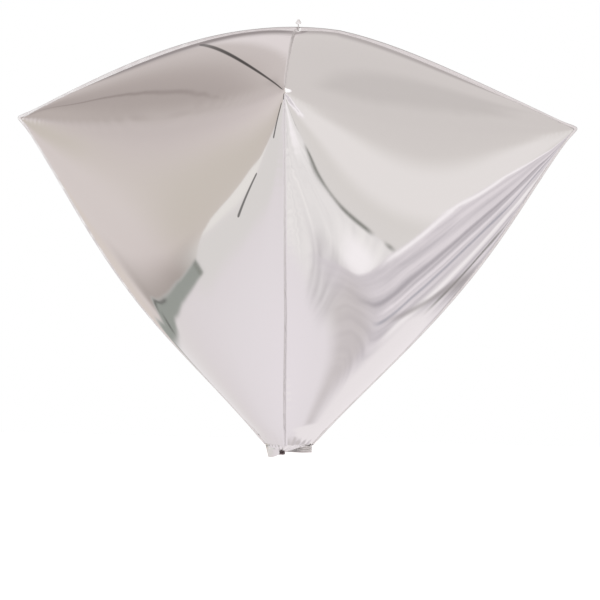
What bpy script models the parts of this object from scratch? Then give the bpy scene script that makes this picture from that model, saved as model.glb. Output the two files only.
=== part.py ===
"""Diamond foil balloon: four mirror-foil panels welded along four standing seams.

Each panel runs from the crown, over the side between two corners, down to the
neck. A seam runs from the crown out to a corner and from there down to the neck.
The film is tied off below the neck, and its pleated tail is folded to one side.

Metres, +Z up. The origin is on the upright axis, level with the four corners.
The corners point along -Y (front), +X (right), +Y (back) and -X (left).
"""
import math

import bmesh
import bpy
from mathutils import Matrix, Vector

# Driving dimensions of the inflated film
CORNER_RADIUS = 0.2652      # axis to the film at a corner
CROWN_HEIGHT = 0.0885       # corners up to the film at the crown
CROWN_FLATNESS = 0.33       # how much of the crown's curve sits near its middle
BODY_DEPTH = 0.3090         # corners down to the rim of the film at the neck
NECK_RADIUS = 0.0205        # axis to a seam at the neck rim
SEAM_BOW = 0.0165           # how far a lower seam bows out of a straight line
CROWN_OPENING = 0.014       # share of the upper seam left open for the crown tab

# How the middle of a panel swells between its two seams
CROWN_SWELL = 0.0095        # upward, on the crown side
SIDE_SWELL_OUT = 0.0250     # outward, on the neck side
SIDE_SWELL_DOWN = 0.0180    # downward, on the neck side
FOLD_IN = 0.0210            # inward pull where the panel turns over
FOLD_DOWN = 0.0100
FOLD_REACH_UP = 0.20        # how far the pull reaches, as a share of a seam
FOLD_REACH_DOWN = 0.15

# Stock
FILM_THICKNESS = 0.0012
SEAM_THICKNESS = 0.0012
SEAM_MARGIN = 0.0045        # how far a welded seam stands out of the film
SEAM_ROOT = 0.0010          # how far it reaches in between the panels
GAP = 0.0003                # between pieces that touch

# Crown tab
TAB_HALF_WIDTH = 0.0022
TAB_FOOT = 0.0860
TAB_TOP = 0.1000

# Neck, tie and tail
NECK_SQUARENESS = 1.25      # 1 is a diamond seen from below, 2 is a circle
NECK_PLEATS = 12
NECK_RINGS = (              # height, radius, sideways shift, pleat depth
    (-0.3100, 0.0205, 0.0000, 0.0000),
    (-0.3120, 0.0188, -0.0008, 0.0005),
    (-0.3150, 0.0095, -0.0048, 0.0009),
    (-0.3170, 0.0043, -0.0070, 0.0003),
    (-0.3202, 0.0038, -0.0070, 0.0002),
)
TIE_CENTRE = (-0.0070, 0.0, -0.3186)
TIE_RADIUS = 0.0060
TIE_CORD_RADIUS = 0.0013
TAIL_START = 0.0008
TAIL_END = 0.0217
TAIL_HEIGHT = -0.3186
TAIL_LIFT = 0.0022
TAIL_HALF_START = 0.0012
TAIL_HALF_END = 0.0052
TAIL_PLEATS = 3
TAIL_PLEAT_DEPTH = 0.0009
TAIL_FILM = 0.0003
FLAP_OUTLINE = (
    (-0.0212, -0.3106),
    (-0.0199, -0.3124),
    (-0.0149, -0.3156),
    (-0.0147, -0.3192),
    (-0.0222, -0.3216),
)

# Mesh density
PANEL_COLUMNS = 12
PANEL_ROWS = 26
SEAM_STEPS_UP = 16
SEAM_STEPS_DOWN = 18
CORNER_STEPS = 6
NECK_SEGMENTS = 48
TAIL_COLUMNS = 24
TAIL_ROWS = 3

FOIL = (0.86, 0.85, 0.85, 1.0)
SEAM_FOIL = (0.80, 0.79, 0.79, 1.0)
TIE_COLOUR = (0.24, 0.19, 0.20, 1.0)


def clear_objects():
    for obj in list(bpy.data.objects):
        bpy.data.objects.remove(obj, do_unlink=True)


def new_collection(name):
    collection = bpy.data.collections.new(name)
    bpy.context.scene.collection.children.link(collection)
    return collection


def material(name, colour, roughness, metallic):
    mat = bpy.data.materials.new(name)
    mat.use_nodes = True
    mat.diffuse_color = colour
    shader = mat.node_tree.nodes["Principled BSDF"]
    shader.inputs["Base Color"].default_value = colour
    shader.inputs["Roughness"].default_value = roughness
    shader.inputs["Metallic"].default_value = metallic
    return mat


def add_object(collection, name, data, mat):
    obj = bpy.data.objects.new(name, data)
    data.materials.append(mat)
    collection.objects.link(obj)
    return obj


def crown_seam(share):
    """Radius and height of a seam's upper run, from the crown (0) to the corner (1)."""
    square = share * share
    return CORNER_RADIUS * share, CROWN_HEIGHT * (1 - square) * (1 - CROWN_FLATNESS * square)


def side_seam(share):
    """Radius and height of a seam's lower run, from the corner (0) to the neck (1)."""
    straight = CORNER_RADIUS + (NECK_RADIUS - CORNER_RADIUS) * share
    bow = SEAM_BOW * max(math.sin(math.pi * share), 0.0) ** 1.5
    return straight + bow, -BODY_DEPTH * share


def swell(place):
    """Outward and upward move of a panel's middle; place runs 0 crown, 1 corner, 2 neck."""
    if place <= 1:
        pull = math.exp(-((1 - place) / FOLD_REACH_UP) ** 2)
        out, up = 0.0, CROWN_SWELL * math.sin(math.pi * place ** 1.3)
    else:
        down_run = place - 1
        pull = math.exp(-(down_run / FOLD_REACH_DOWN) ** 2)
        shape = math.sin(math.pi * min(down_run, 1.0) ** 0.65)
        out, up = SIDE_SWELL_OUT * shape, -SIDE_SWELL_DOWN * shape
    return out - FOLD_IN * pull, up - FOLD_DOWN * pull


def panel_point(place, across):
    """A point of the panel between the +X seam (across 0) and the +Y seam (across 1)."""
    radius, height = crown_seam(place) if place <= 1 else side_seam(place - 1)
    out, up = swell(place)
    crest = 4 * across * (1 - across)
    outward = crest * out / math.sqrt(2)
    return Vector((radius * (1 - across) + outward, radius * across + outward, height + crest * up))


def build_panel(collection, name, quarter, mat):
    """One foil panel: a grid laid along the two seams, swollen, and given its thickness."""
    bm = bmesh.new()
    bmesh.ops.create_grid(bm, x_segments=PANEL_COLUMNS, y_segments=PANEL_ROWS, size=0.5)
    inset = SEAM_THICKNESS / 2 + GAP
    for vert in bm.verts:
        across = vert.co.x + 0.5
        place = CROWN_OPENING + (2 - CROWN_OPENING) * (vert.co.y + 0.5)
        vert.co = panel_point(place, across) + Vector((inset, inset, 0))
    bmesh.ops.rotate(bm, verts=bm.verts, matrix=Matrix.Rotation(quarter * math.pi / 2, 3, "Z"))
    bmesh.ops.recalc_face_normals(bm, faces=bm.faces)
    middle = max(bm.faces, key=lambda face: face.calc_area())
    if middle.normal.dot(middle.calc_center_median()) < 0:
        bmesh.ops.reverse_faces(bm, faces=bm.faces)
    mesh = bpy.data.meshes.new(name)
    bm.to_mesh(mesh)
    bm.free()
    mesh.shade_smooth()
    obj = add_object(collection, name, mesh, mat)
    film = obj.modifiers.new("film thickness", "SOLIDIFY")
    film.thickness = FILM_THICKNESS
    film.offset = 1.0
    return obj


def seam_path():
    """The seam's points in its own plane, as (radius, height), and which one is the corner."""
    start = (TAB_HALF_WIDTH + 2 * GAP) / CORNER_RADIUS
    points = []
    for step in range(SEAM_STEPS_UP):
        points.append(crown_seam(start + (1 - start) * step / SEAM_STEPS_UP))
    corner = len(points)
    for step in range(SEAM_STEPS_DOWN + 1):
        points.append(side_seam(step / SEAM_STEPS_DOWN))
    return [Vector(point) for point in points], corner


def outward_normal(before, after):
    """Normal to the left-hand side of the way from one point to the next."""
    along = (after - before).normalized()
    return Vector((-along.y, along.x))


def seam_outline():
    """A band that follows the seam, rounded where it goes over the corner."""
    path, corner = seam_path()
    outer, inner = [], []
    for index, point in enumerate(path):
        before = path[max(index - 1, 0)]
        after = path[min(index + 1, len(path) - 1)]
        if index != corner:
            normal = outward_normal(before, after)
            outer.append(point + normal * SEAM_MARGIN)
            inner.append(point - normal * SEAM_ROOT)
            continue
        first = outward_normal(before, point)
        last = outward_normal(point, after)
        turn = first.angle_signed(last)
        for step in range(CORNER_STEPS + 1):
            angle = math.atan2(first.y, first.x) - turn * step / CORNER_STEPS
            outer.append(point + Vector((math.cos(angle), math.sin(angle))) * SEAM_MARGIN)
        halfway = (first + last).normalized()
        inner.append(point - halfway * SEAM_ROOT / math.cos(turn / 2))
    return outer + inner[::-1]


def flat_plate(collection, name, outline, thickness, mat):
    """A flat piece in the X-Z plane from a filled 2D outline."""
    curve = bpy.data.curves.new(name, "CURVE")
    curve.dimensions = "2D"
    curve.fill_mode = "BOTH"
    curve.extrude = thickness / 2
    spline = curve.splines.new("POLY")
    spline.points.add(len(outline) - 1)
    for point, (across, height) in zip(spline.points, outline):
        point.co = (across, height, 0.0, 1.0)
    spline.use_cyclic_u = True
    obj = add_object(collection, name, curve, mat)
    obj.rotation_euler = (math.pi / 2, 0.0, 0.0)
    return obj


def build_seam(collection, name, quarter, mat):
    """One welded seam, standing out of the film from the crown over a corner to the neck."""
    obj = flat_plate(collection, name, seam_outline(), SEAM_THICKNESS, mat)
    obj.rotation_euler = (math.pi / 2, 0.0, quarter * math.pi / 2)
    return obj


def build_crown_tab(collection, mat):
    """The small upright tab where the four panels meet at the crown."""
    half = TAB_HALF_WIDTH
    cap_centre = TAB_TOP - half
    outline = [(-half, TAB_FOOT), (half, TAB_FOOT)]
    for step in range(9):
        angle = math.pi * step / 8
        outline.append((half * math.cos(angle), cap_centre + half * math.sin(angle)))
    return flat_plate(collection, "crown_tab", outline, SEAM_THICKNESS, mat)


def neck_ring_radius(angle, radius, pleat):
    power = NECK_SQUARENESS
    spread = abs(math.cos(angle)) ** power + abs(math.sin(angle)) ** power
    return radius * spread ** (-1 / power) + pleat * math.cos(NECK_PLEATS * angle)


def build_neck(collection, mat):
    """The gathered film between the rim of the panels and the tie."""
    bm = bmesh.new()
    steps = len(NECK_RINGS) - 1
    bmesh.ops.create_cone(
        bm, cap_ends=True, segments=NECK_SEGMENTS, radius1=1.0, radius2=1.0, depth=steps)
    for level in range(1, steps):
        bmesh.ops.bisect_plane(
            bm, geom=bm.verts[:] + bm.edges[:] + bm.faces[:],
            plane_co=(0.0, 0.0, steps / 2 - level), plane_no=(0.0, 0.0, 1.0))
    for vert in bm.verts:
        height, radius, shift, pleat = NECK_RINGS[round(steps / 2 - vert.co.z)]
        angle = math.atan2(vert.co.y, vert.co.x)
        reach = neck_ring_radius(angle, radius, pleat)
        vert.co = Vector((shift + reach * math.cos(angle), reach * math.sin(angle), height))
    bmesh.ops.recalc_face_normals(bm, faces=bm.faces)
    mesh = bpy.data.meshes.new("neck")
    bm.to_mesh(mesh)
    bm.free()
    mesh.shade_smooth()
    return add_object(collection, "neck", mesh, mat)


def build_tie(collection, mat):
    """The tie round the gathered film."""
    bpy.ops.mesh.primitive_torus_add(
        major_segments=24, minor_segments=8,
        major_radius=TIE_RADIUS, minor_radius=TIE_CORD_RADIUS, location=TIE_CENTRE)
    obj = bpy.context.active_object
    obj.name = obj.data.name = "neck_tie"
    obj.data.materials.append(mat)
    for owner in list(obj.users_collection):
        owner.objects.unlink(obj)
    collection.objects.link(obj)
    obj.data.shade_smooth()
    return obj


def build_tail(collection, mat):
    """The pleated end of the film, a small fan that points to the right of the tie."""
    bm = bmesh.new()
    bmesh.ops.create_grid(bm, x_segments=TAIL_ROWS, y_segments=TAIL_COLUMNS, size=0.5)
    for vert in bm.verts:
        along = vert.co.x + 0.5
        spread = 2 * vert.co.y
        half = TAIL_HALF_START + (TAIL_HALF_END - TAIL_HALF_START) * along
        ripple = math.cos(math.pi * TAIL_PLEATS * (spread + 1))
        vert.co = Vector((
            TAIL_START + (TAIL_END - TAIL_START) * along,
            TAIL_PLEAT_DEPTH * along * ripple,
            TAIL_HEIGHT + TAIL_LIFT * along + half * spread,
        ))
    mesh = bpy.data.meshes.new("tail")
    bm.to_mesh(mesh)
    bm.free()
    obj = add_object(collection, "tail", mesh, mat)
    film = obj.modifiers.new("film thickness", "SOLIDIFY")
    film.thickness = TAIL_FILM
    film.offset = 0.0
    return obj


def build():
    clear_objects()
    balloon = new_collection("diamond foil balloon")
    foil = material("mirror foil", FOIL, 0.06, 1.0)
    seam_foil = material("welded foil", SEAM_FOIL, 0.18, 1.0)
    tie = material("tie", TIE_COLOUR, 0.5, 0.0)
    panels = ("panel_back_right", "panel_back_left", "panel_front_left", "panel_front_right")
    for quarter, name in enumerate(panels):
        build_panel(balloon, name, quarter, foil)
    for quarter, name in enumerate(("seam_right", "seam_back", "seam_left", "seam_front")):
        build_seam(balloon, name, quarter, seam_foil)
    build_crown_tab(balloon, seam_foil)
    build_neck(balloon, foil)
    build_tie(balloon, tie)
    build_tail(balloon, foil)
    flat_plate(balloon, "tail_flap", FLAP_OUTLINE, SEAM_THICKNESS, seam_foil)


build()
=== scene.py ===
"""Dresses the diamond foil balloon: inflated mirror film, welded seams, gathered neck, tie and tail.

Metres, +Z up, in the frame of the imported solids: the origin is on the upright axis, level with
the four corners, which point along -Y (front), +X (right), +Y (back) and -X (left).
"""

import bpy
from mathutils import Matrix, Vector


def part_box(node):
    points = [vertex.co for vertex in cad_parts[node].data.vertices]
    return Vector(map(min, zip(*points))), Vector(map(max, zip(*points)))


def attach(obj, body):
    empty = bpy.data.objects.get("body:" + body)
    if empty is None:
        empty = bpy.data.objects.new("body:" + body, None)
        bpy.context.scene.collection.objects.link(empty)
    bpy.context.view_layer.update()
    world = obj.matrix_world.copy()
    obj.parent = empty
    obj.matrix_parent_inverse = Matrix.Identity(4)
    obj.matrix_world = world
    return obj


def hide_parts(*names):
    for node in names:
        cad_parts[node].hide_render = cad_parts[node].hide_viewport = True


bl_info = {
    "name": "Diamond foil balloon",
    "version": (1, 0, 0),
    "blender": (4, 5, 0),
    "location": "3D View > Sidebar > Foil Balloon",
    "description": "Inflates, welds and ties a diamond foil balloon and sets it in a pale studio",
    "category": "Add Mesh",
}

import math

import bmesh
import bpy
import numpy as np
from bpy.props import FloatProperty, FloatVectorProperty, IntProperty, PointerProperty
from mathutils import Matrix, Vector

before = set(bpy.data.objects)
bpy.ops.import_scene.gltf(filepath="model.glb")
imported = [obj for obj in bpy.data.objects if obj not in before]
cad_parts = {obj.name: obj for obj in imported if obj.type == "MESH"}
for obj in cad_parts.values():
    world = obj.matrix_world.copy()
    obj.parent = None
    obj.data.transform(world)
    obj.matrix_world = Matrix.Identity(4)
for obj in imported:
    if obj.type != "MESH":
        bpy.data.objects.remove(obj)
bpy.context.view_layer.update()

PHOTO_SIDE = 600

TOUCHING = 1e-6             # points nearer than this are one

# How the seams lie in the frame
SEAM_MARGIN = 0.0013        # how far a seam stands out of the film on its way down
CROWN_MARGIN = 0.0085       # the same at the crown
CORNER_MARGIN = 0.0025      # the same at a corner, as a small rounded tab
CORNER_TAB_REACH = 0.010
SEAM_ROOT = 0.0010          # how far it reaches in between two panels
CORNER_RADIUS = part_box("seam_right")[1].x - CORNER_MARGIN
CROWN_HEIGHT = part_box("seam_right")[1].z - CROWN_MARGIN
CROWN_FLATNESS = 0.15       # how much less the crown is domed than a parabola near its corners
SEAM_BOW = 0.0186           # how far a seam bows out on its way down
FILM_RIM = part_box("neck")[1].z + 0.0010
BODY_DEPTH = -FILM_RIM
NECK_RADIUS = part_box("neck")[1].x + 0.0020
CLOSING_SHARE = 0.045       # the film runs on this share of a seam to close at the axis
CLOSED_RADIUS = 0.0005

# How the film gathers into the neck
FOOT_TOP = FILM_RIM + 0.022
NECK_SQUARENESS = 1.25      # 1 is a diamond seen from below, 2 is a circle
NECK_PLEATS = 20
NECK_HEIGHTS = (FILM_RIM + 0.0005, -0.3110, -0.3140, -0.3166, -0.3195)
NECK_RADII = (NECK_RADIUS - 0.0007, 0.0186, 0.0098, 0.0026, 0.0023)
NECK_SHIFTS = (0.0000, -0.0010, -0.0040, -0.0062, -0.0062)
NECK_PLEAT_DEPTHS = (0.0003, 0.0007, 0.0009, 0.0004, 0.0003)
TIE_CENTRE = Vector((-0.0062, 0.0, -0.3174))

# Where the filled balloon isn't even: the foot's middle is drawn to the left by the tie, the left
# side bows out, and the crown sags on the right
FOOT_LEAN = 0.0027
LEAN_TOP, LEAN_FULL, LEAN_END = -0.17, -0.29, -0.3165
LEFT_BOW, LEFT_BOW_HEIGHT, LEFT_BOW_REACH = 0.0024, -0.19, 0.06
RIGHT_SAG, LEFT_LIFT = 0.0054, 0.0010
SAG_START = 0.04
CROWN_END, LEAST_CROWN = 0.98, 0.001

PANELS = ("back_right", "back_left", "front_left", "front_right")
SEAMS = ("right", "back", "left", "front")
FRONT_SEAM = SEAMS.index("front")


def smooth_step(value):
    share = np.clip(value, 0.0, 1.0)
    return share * share * (3 - 2 * share)


def crown_seam(share):
    """Radius and height of a seam's upper run, from the crown (0) to the corner (1)."""
    square = share * share
    return CORNER_RADIUS * share, CROWN_HEIGHT * (1 - square) * (1 - CROWN_FLATNESS * square)


def side_seam(share):
    """Radius and height of a seam's lower run, from the corner (0) to the neck (1)."""
    straight = CORNER_RADIUS + (NECK_RADIUS - CORNER_RADIUS) * share
    bow = SEAM_BOW * np.maximum(np.sin(np.pi * share), 0.0) ** 1.5
    return straight + bow, -BODY_DEPTH * share


def closing_side_seam(share):
    """The lower run carried on past the neck until it closes at the axis."""
    radius, height = side_seam(np.minimum(share, 1.0))
    closing = 1 - (share - 1) / CLOSING_SHARE
    radius = np.where(share > 1, np.maximum(NECK_RADIUS * closing, CLOSED_RADIUS), radius)
    return radius, np.where(share > 1, -BODY_DEPTH * share, height)


def settle(points):
    """Moves points, one in each row, to where the uneven balloon has them."""
    across, height = points[:, 0], points[:, 2].copy()
    share = np.clip(np.abs(across) / CORNER_RADIUS, 0.0, CROWN_END)
    crown = np.maximum(crown_seam(share)[1], LEAST_CROWN)
    run = np.clip((np.abs(across) - SAG_START) / (CORNER_RADIUS - SAG_START), 0.0, 1.0)
    sag = np.where(across > 0, -RIGHT_SAG, LEFT_LIFT) * np.sin(np.pi * run)
    points[:, 2] += sag * np.clip(height / crown, 0.0, 1.0)
    radius = side_seam(np.clip(-height / BODY_DEPTH, 0.0, 1.0))[0]
    side = np.clip(-across / radius, -1.0, 1.0)
    lower = smooth_step((LEAN_TOP - height) / (LEAN_TOP - LEAN_FULL))
    above_tie = smooth_step((height - LEAN_END) / (FILM_RIM - LEAN_END))
    bow = LEFT_BOW * np.exp(-((height - LEFT_BOW_HEIGHT) / LEFT_BOW_REACH) ** 2) * np.maximum(side, 0.0)
    points[:, 0] -= FOOT_LEAN * lower * above_tie * (1 - np.abs(side)) + bow
    return points


class SeamLine:
    """A seam's run, read by the share of its own length."""

    steps = 800

    def __init__(self, seam, end):
        shares = np.linspace(0.0, end, self.steps)
        self.radius, self.height = seam(shares)
        lengths = np.hypot(np.diff(self.radius), np.diff(self.height))
        self.lengths = np.concatenate(([0.0], np.cumsum(lengths)))
        self.length = self.lengths[-1]

    def at(self, share):
        place = share * self.length
        return np.interp(place, self.lengths, self.radius), np.interp(place, self.lengths, self.height)


UPPER_RUN = SeamLine(crown_seam, 1.0)
LOWER_RUN = SeamLine(closing_side_seam, 1.0 + CLOSING_SHARE)


# The flat cut of one panel, a kite: crown at the origin, neck down -Y
CROWN_ANGLE = math.radians(90)
KITE_HALF_WIDTH = UPPER_RUN.length * math.sin(CROWN_ANGLE / 2)
KITE_SHOULDER = -UPPER_RUN.length * math.cos(CROWN_ANGLE / 2)
KITE_FOOT = KITE_SHOULDER - math.sqrt(LOWER_RUN.length ** 2 - KITE_HALF_WIDTH ** 2)
KITE = {
    "crown": np.array((0.0, 0.0)),
    "first": np.array((KITE_HALF_WIDTH, KITE_SHOULDER)),
    "second": np.array((-KITE_HALF_WIDTH, KITE_SHOULDER)),
    "neck": np.array((0.0, KITE_FOOT)),
}


class EnvelopeSettings(bpy.types.PropertyGroup):
    """The inflated film."""

    columns: IntProperty(
        name="Film columns", description="Grid cells along each seam while the gas is let in",
        default=96, min=24, max=140)
    frames: IntProperty(
        name="Filling time", description="Frames of simulation until the film is taut",
        default=10, min=4, max=40)
    pressure: FloatProperty(
        name="Gas pressure", description="Pressure that holds the film out", default=600.0, min=1.0)
    thickness: FloatProperty(
        name="Film thickness", description="Thickness given to the film",
        default=0.0003, min=0.00005, unit="LENGTH", precision=5)
    pucker_depth: FloatProperty(
        name="Pucker depth", description="Height of the small puckers that run in from a seam",
        default=0.00006, min=0.0, unit="LENGTH", precision=5)
    pucker_reach: FloatProperty(
        name="Pucker reach", description="How far the puckers run in from a seam",
        default=0.010, min=0.001, unit="LENGTH", precision=4)


class WeldSettings(bpy.types.PropertyGroup):
    """The welded seams and the crown tab."""

    thickness: FloatProperty(
        name="Weld thickness", description="Two films welded together",
        default=0.0003, min=0.0001, unit="LENGTH", precision=5)
    ripple: FloatProperty(
        name="Ripple", description="How far the free edge of a seam waves to either side",
        default=0.00025, min=0.0, unit="LENGTH", precision=5)
    rib_pitch: FloatProperty(
        name="Rib pitch", description="Distance between the fine ribs pressed in by the welding bar",
        default=0.0011, min=0.0003, unit="LENGTH", precision=5)
    tab_fold: FloatProperty(
        name="Corner tab fold", description="How far the front corner's tab is folded to the right",
        default=math.radians(70), subtype="ANGLE")


class NeckSettings(bpy.types.PropertyGroup):
    """The gathered neck, its tie and its tail."""

    tie_radius: FloatProperty(
        name="Tie radius", description="Radius of the wound tie",
        default=0.0026, min=0.001, unit="LENGTH", precision=4)
    cord_diameter: FloatProperty(
        name="Tie cord", description="Diameter of the tie's cord",
        default=0.0008, min=0.0003, unit="LENGTH", precision=4)
    turns: IntProperty(
        name="Turns", description="Turns of the tie", default=3, min=1, max=6)
    tail_pleats: IntProperty(
        name="Tail pleats", description="Pleats across the tail", default=4, min=1, max=8)
    tail_film: FloatProperty(
        name="Tail film", description="Thickness of the tail's film",
        default=0.0003, min=0.00005, unit="LENGTH", precision=5)


class FinishSettings(bpy.types.PropertyGroup):
    """Colours and gloss of the balloon's own finishes."""

    foil: FloatVectorProperty(
        name="Foil", description="Colour of the mirror film",
        subtype="COLOR", size=3, min=0.0, max=1.0, default=(0.90, 0.895, 0.89))
    foil_roughness: FloatProperty(
        name="Foil roughness", description="Blur of the film's reflections",
        subtype="FACTOR", min=0.0, max=1.0, default=0.06)
    weld: FloatVectorProperty(
        name="Weld", description="Colour of the welded film",
        subtype="COLOR", size=3, min=0.0, max=1.0, default=(0.96, 0.95, 0.95))
    weld_roughness: FloatProperty(
        name="Weld roughness", description="Blur of the welded film's reflections",
        subtype="FACTOR", min=0.0, max=1.0, default=0.15)
    tie: FloatVectorProperty(
        name="Tie", description="Colour of the tie",
        subtype="COLOR", size=3, min=0.0, max=1.0, default=(0.085, 0.058, 0.062))


class StudioSettings(bpy.types.PropertyGroup):
    """The room that the film mirrors, the floor and the camera."""

    distance: FloatProperty(
        name="Camera distance", description="Camera to the balloon's axis",
        default=1.7, min=0.5, unit="LENGTH")
    camera_height: FloatProperty(
        name="Camera height", description="Camera's height against the four corners",
        default=-0.170, unit="LENGTH")
    camera_shift: FloatProperty(
        name="Camera offset", description="Camera's offset to its right",
        default=0.0077, unit="LENGTH", precision=4)
    balloon_turn: FloatProperty(
        name="Balloon turn", description="How far the balloon is turned against the camera",
        default=math.radians(1.95), subtype="ANGLE")
    tilt: FloatProperty(
        name="Camera tilt", description="The photograph's own tilt",
        default=math.radians(1.33), subtype="ANGLE")
    focal_pixels: FloatProperty(
        name="Focal length", description="Focal length in pixels of a picture 600 pixels wide",
        default=1764.7, min=100.0)
    floor_height: FloatProperty(
        name="Floor height", description="Height of the pale floor",
        default=-1.5, unit="LENGTH")


def settings(context):
    return context.scene.foil_balloon


class BalloonSettings(bpy.types.PropertyGroup):
    """Everything a user would change."""

    envelope: PointerProperty(type=EnvelopeSettings, name="Envelope", description="The inflated film")
    weld: PointerProperty(type=WeldSettings, name="Welds", description="Seams and crown tab")
    neck: PointerProperty(type=NeckSettings, name="Neck", description="Neck, tie and tail")
    finish: PointerProperty(type=FinishSettings, name="Finish", description="Colours and gloss")
    studio: PointerProperty(type=StudioSettings, name="Studio", description="Room, floor and camera")


class Value:
    """A shader value to reckon with: each sign between two of them adds a Math node."""

    def __init__(self, nodes, socket):
        self.nodes = nodes
        self.socket = socket

    def __add__(self, other):
        return self.nodes.math("ADD", self, other)

    def __sub__(self, other):
        return self.nodes.math("SUBTRACT", self, other)

    def __rsub__(self, other):
        return self.nodes.math("SUBTRACT", other, self)

    def __mul__(self, other):
        return self.nodes.math("MULTIPLY", self, other)

    def __truediv__(self, other):
        return self.nodes.math("DIVIDE", self, other)

    def __abs__(self):
        return self.nodes.math("ABSOLUTE", self)


class Nodes:
    """Short ways to add and join shader nodes in one node tree."""

    def __init__(self, tree):
        self.tree = tree
        tree.nodes.clear()

    def add(self, kind, **values):
        node = self.tree.nodes.new(kind)
        for name, value in values.items():
            setattr(node, name, value)
        return node

    def put(self, socket, value):
        """Joins a socket to another one, or sets a plain value on it."""
        value = value.socket if isinstance(value, Value) else value
        if isinstance(value, bpy.types.NodeSocket):
            self.tree.links.new(value, socket)
        else:
            socket.default_value = value

    def fill(self, node, values):
        for name, value in values.items():
            self.put(node.inputs[name], value)

    def math(self, operation, *values):
        node = self.add("ShaderNodeMath", operation=operation)
        for socket, value in zip(node.inputs, values):
            self.put(socket, value)
        return Value(self, node.outputs[0])

    def fade(self, value, low, high):
        """0 where value is at or under low, 1 at or over high, smooth in between."""
        node = self.add("ShaderNodeMapRange", interpolation_type="SMOOTHSTEP")
        self.fill(node, {"Value": value, "From Min": low, "From Max": high})
        return Value(self, node.outputs["Result"])

    def mix(self, share, first, second):
        node = self.add("ShaderNodeMix", data_type="RGBA")
        for index, value in ((0, share), (6, first), (7, second)):
            self.put(node.inputs[index], value)
        return node.outputs[2]

    def choose(self, share, first, second):
        """Mixes two shaders."""
        node = self.add("ShaderNodeMixShader")
        for socket, value in zip(node.inputs, (share, first, second)):
            self.put(socket, value)
        return node.outputs[0]

    def parts(self, vector):
        node = self.add("ShaderNodeSeparateXYZ")
        self.put(node.inputs[0], vector)
        return [Value(self, socket) for socket in node.outputs]

    def noise(self, vector, scale, detail=2.0, roughness=0.5):
        node = self.add("ShaderNodeTexNoise")
        self.fill(node, {"Vector": vector, "Scale": scale, "Detail": detail, "Roughness": roughness})
        return Value(self, node.outputs["Fac"])

    def stretched(self, vector, scale):
        node = self.add("ShaderNodeMapping")
        self.fill(node, {"Vector": vector, "Scale": scale})
        return node.outputs["Vector"]

    def bump(self, height, strength, distance, normal=None):
        node = self.add("ShaderNodeBump")
        self.fill(node, {"Height": height, "Strength": strength, "Distance": distance})
        if normal is not None:
            self.put(node.inputs["Normal"], normal)
        return node.outputs["Normal"]

    def place(self):
        """Where a point is on the piece, which is also its place in the frame."""
        return self.add("ShaderNodeTexCoord").outputs["Object"]


class Finish(Nodes):
    """A new material with a Principled shader."""

    def __init__(self, name):
        self.material = bpy.data.materials.new(name)
        self.material.use_nodes = True
        super().__init__(self.material.node_tree)
        self.shader = self.add("ShaderNodeBsdfPrincipled")
        self.surface = self.add("ShaderNodeOutputMaterial").inputs["Surface"]
        self.put(self.surface, self.shader.outputs[0])

    def dress(self, values):
        self.fill(self.shader, values)
        return self.material


def rgba(colour, strength=1.0):
    return (*(part * strength for part in colour), 1.0)


# Painted shade of sharp creases, dark lines in the film's colour with no fold in its shape, that start
# at a corner of the flat cut: panel, corner, direction in degrees from the cut's +X, start and end of
# the crease, sag, half width at its start and end, darkness
PAINTED_CREASE_SHADES = (
    ("front_left", "second", 22.8, 0.003, 0.245, 0.0030, 0.0006, 0.0034, 1.0),
    ("front_left", "second", -60.0, 0.003, 0.009, 0.0, 0.0013, 0.0013, 0.9),
    ("front_left", "second", -48.5, 0.012, 0.048, 0.0005, 0.0007, 0.0011, 0.75),
    ("front_left", "second", -44.4, 0.086, 0.136, 0.0008, 0.0010, 0.0016, 0.75),
)


def painted_crease_shade(nodes, cut):
    """Painted crease shade: 1 on the dark crease lines and 0 beside them, from the film's place on its
    flat cut.
    """
    across, up, _ = nodes.parts(cut)
    depth = 0.0
    for panel, corner, degrees, first, last, sag, narrow, wide, dark in PAINTED_CREASE_SHADES:
        start = KITE[corner] + np.array((PANELS.index(panel), 0.0))
        cosine, sine = math.cos(math.radians(degrees)), math.sin(math.radians(degrees))
        x, y = across - float(start[0]), up - float(start[1])
        share = (x * cosine + y * sine - first) / (last - first)
        bow = share * (1.0 - share)
        away = abs(y * cosine - x * sine - bow * (4 * sag))
        width = nodes.fade(bow, -0.02, 0.05) * (share * (wide - narrow) + narrow)
        line = 1.0 - nodes.fade(away / width, 0.35, 1.0)
        depth = nodes.math("MAXIMUM", line * nodes.fade(bow, 0.0, 0.02) * dark, depth)
    return depth


def mirror_foil(finish):
    """Metallised film: a clean mirror with faint rolling marks, painted shade in its sharpest creases
    and painted shade right beside its seams.
    """
    nodes = Finish("mirror foil")
    place = nodes.place()
    # painted shade right beside the seams, darkest along the crown seams
    edge = nodes.add("ShaderNodeAttribute", attribute_name="painted_seam_shade").outputs["Fac"]
    cut = nodes.add("ShaderNodeUVMap", uv_map="cut").outputs["UV"]
    rolled = nodes.noise(nodes.stretched(place, (160.0, 160.0, 6.0)), 1.0, 3.0)
    film = nodes.mix(nodes.noise(place, 9.0), rgba(finish.foil, 0.985), rgba(finish.foil))
    with_painted_seam_shade = nodes.mix(edge, film, rgba(finish.foil, 0.45))
    soft = nodes.bump(nodes.noise(place, 22.0, 1.0), 0.05, 0.002)
    return nodes.dress({
        # near-black painted shade along the creases
        "Base Color": nodes.mix(painted_crease_shade(nodes, cut), with_painted_seam_shade, rgba(finish.foil, 0.04)),
        "Roughness": rolled * 0.03 + (finish.foil_roughness - 0.015),
        "Metallic": 1.0,
        "Normal": nodes.bump(rolled, 0.02, 0.0004, soft)})


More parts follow.
